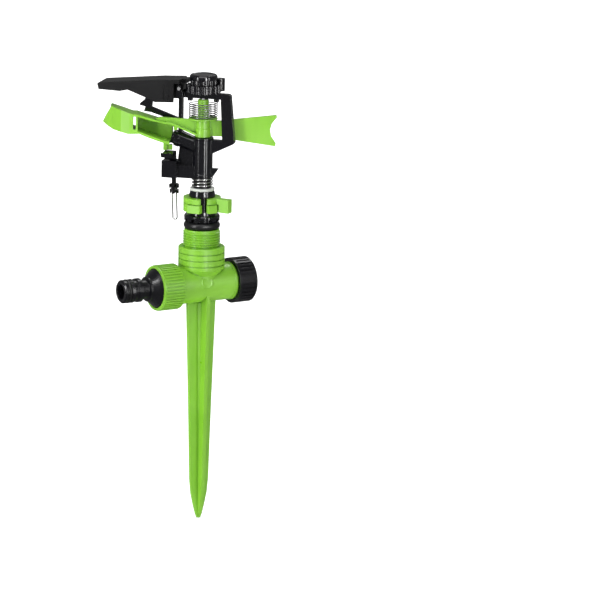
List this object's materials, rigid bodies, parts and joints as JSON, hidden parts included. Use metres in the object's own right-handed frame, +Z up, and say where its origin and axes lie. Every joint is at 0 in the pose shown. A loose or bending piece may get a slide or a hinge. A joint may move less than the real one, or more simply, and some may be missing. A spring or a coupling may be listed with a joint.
{
  "type": "impact sprinkler",
  "caption": "Impact sprinkler head on a plastic ground spike manifold, with a swinging hammer arm, deflector flap, range knob, trip lever and stop collars.",
  "frame": {"origin": "where the axis the head turns on meets the underside of the manifold, which rests on the ground", "axes": "+Z up along the turning axis, out of the ground; -X out of the hose inlet along the manifold; +Y completes the right-handed set"},
  "size_m": [0.1106, 0.0863, 0.3232],
  "materials": {
    "green_plastic": "gloss",
    "gloss_black_plastic": "gloss",
    "satin_black_plastic": "satin",
    "flap_plastic": "satin",
    "black_rubber": "matte",
    "white_nylon": "satin",
    "steel": "bright"
  },
  "bodies": {
    "base": {"spike_manifold": "green_plastic", "hose_nipple": "satin_black_plastic", "nipple_o_ring": "black_rubber", "inlet_washer": "black_rubber", "bearing_base": "gloss_black_plastic", "riser_seal": "black_rubber", "upper_thrust_washer": "white_nylon"},
    "head": {"bearing_nipple": "gloss_black_plastic", "lower_thrust_washer": "white_nylon", "lower_seal_washer": "black_rubber", "bearing_spring": "steel", "sprinkler_body": "gloss_black_plastic", "nozzle": "gloss_black_plastic", "fulcrum_pin": "steel", "flap_hinge_pin": "steel", "trip_pivot_pin": "steel", "arm_spring": "steel", "trip_spring": "steel"},
    "arm": {"hammer_arm": "green_plastic"},
    "knob": {"range_knob": "gloss_black_plastic", "knob_cap": "gloss_black_plastic"},
    "flap": {"deflector_flap": "flap_plastic"},
    "trip": {"trip_lever": "gloss_black_plastic", "wire_clip": "gloss_black_plastic"},
    "wire": {"trip_wire": "steel"},
    "collar_upper": {"upper_collar": "green_plastic"},
    "collar_lower": {"lower_collar": "green_plastic"},
    "nut": {"inlet_nut": "green_plastic"},
    "cap": {"end_cap": "satin_black_plastic", "cap_washer": "black_rubber"}
  },
  "joints": [
    {"name": "head_turn", "type": "hinge", "parent": "base", "child": "head", "pos_m": [0, 0, 0.091], "axis": [0, 0, 1], "range_deg": [-50, 130]},
    {"name": "arm_swing", "type": "hinge", "parent": "head", "child": "arm", "pos_m": [0, 0, 0.1255], "axis": [0, 0, 1], "range_deg": [0, 110], "stiffness_Nm_per_rad": 0.02, "deforming": ["arm_spring"]},
    {"name": "knob_turn", "type": "hinge", "parent": "head", "child": "knob", "pos_m": [0, 0, 0.154], "axis": [0, 0, 1], "range_deg": [-160, 0]},
    {"name": "flap_tilt", "type": "hinge", "parent": "head", "child": "flap", "pos_m": [-0.01153, 0.01153, 0.1537], "axis": [-0.7071, -0.7071, 0], "range_deg": [0, 10]},
    {"name": "trip_flip", "type": "hinge", "parent": "head", "child": "trip", "pos_m": [-0.01683, 0.01188, 0.096], "axis": [-0.7071, 0.7071, 0], "range_deg": [0, 15], "deforming": ["trip_spring"]},
    {"name": "wire_fold", "type": "hinge", "parent": "trip", "child": "wire", "pos_m": [-0.01524, 0.01347, 0.07996], "axis": [-0.7071, 0.7071, 0], "range_deg": [0, 120]},
    {"name": "upper_collar_turn", "type": "hinge", "parent": "base", "child": "collar_upper", "pos_m": [0, 0, 0.0745], "axis": [0, 0, 1], "range_deg": [0, 40]},
    {"name": "lower_collar_turn", "type": "hinge", "parent": "base", "child": "collar_lower", "pos_m": [0, 0, 0.0695], "axis": [0, 0, 1], "range_deg": [-40, 0]},
    {"name": "nut_turn", "type": "hinge", "parent": "base", "child": "nut", "pos_m": [-0.03, 0, 0.0135], "axis": [-1, 0, 0], "continuous": true},
    {"name": "cap_turn", "type": "hinge", "parent": "base", "child": "cap", "pos_m": [0.03, 0, 0.0135], "axis": [1, 0, 0], "continuous": true}
  ],
  "couplings": [
    {"joint": "flap_tilt", "follows": "knob_turn", "ratio": -0.0624}
  ]
}
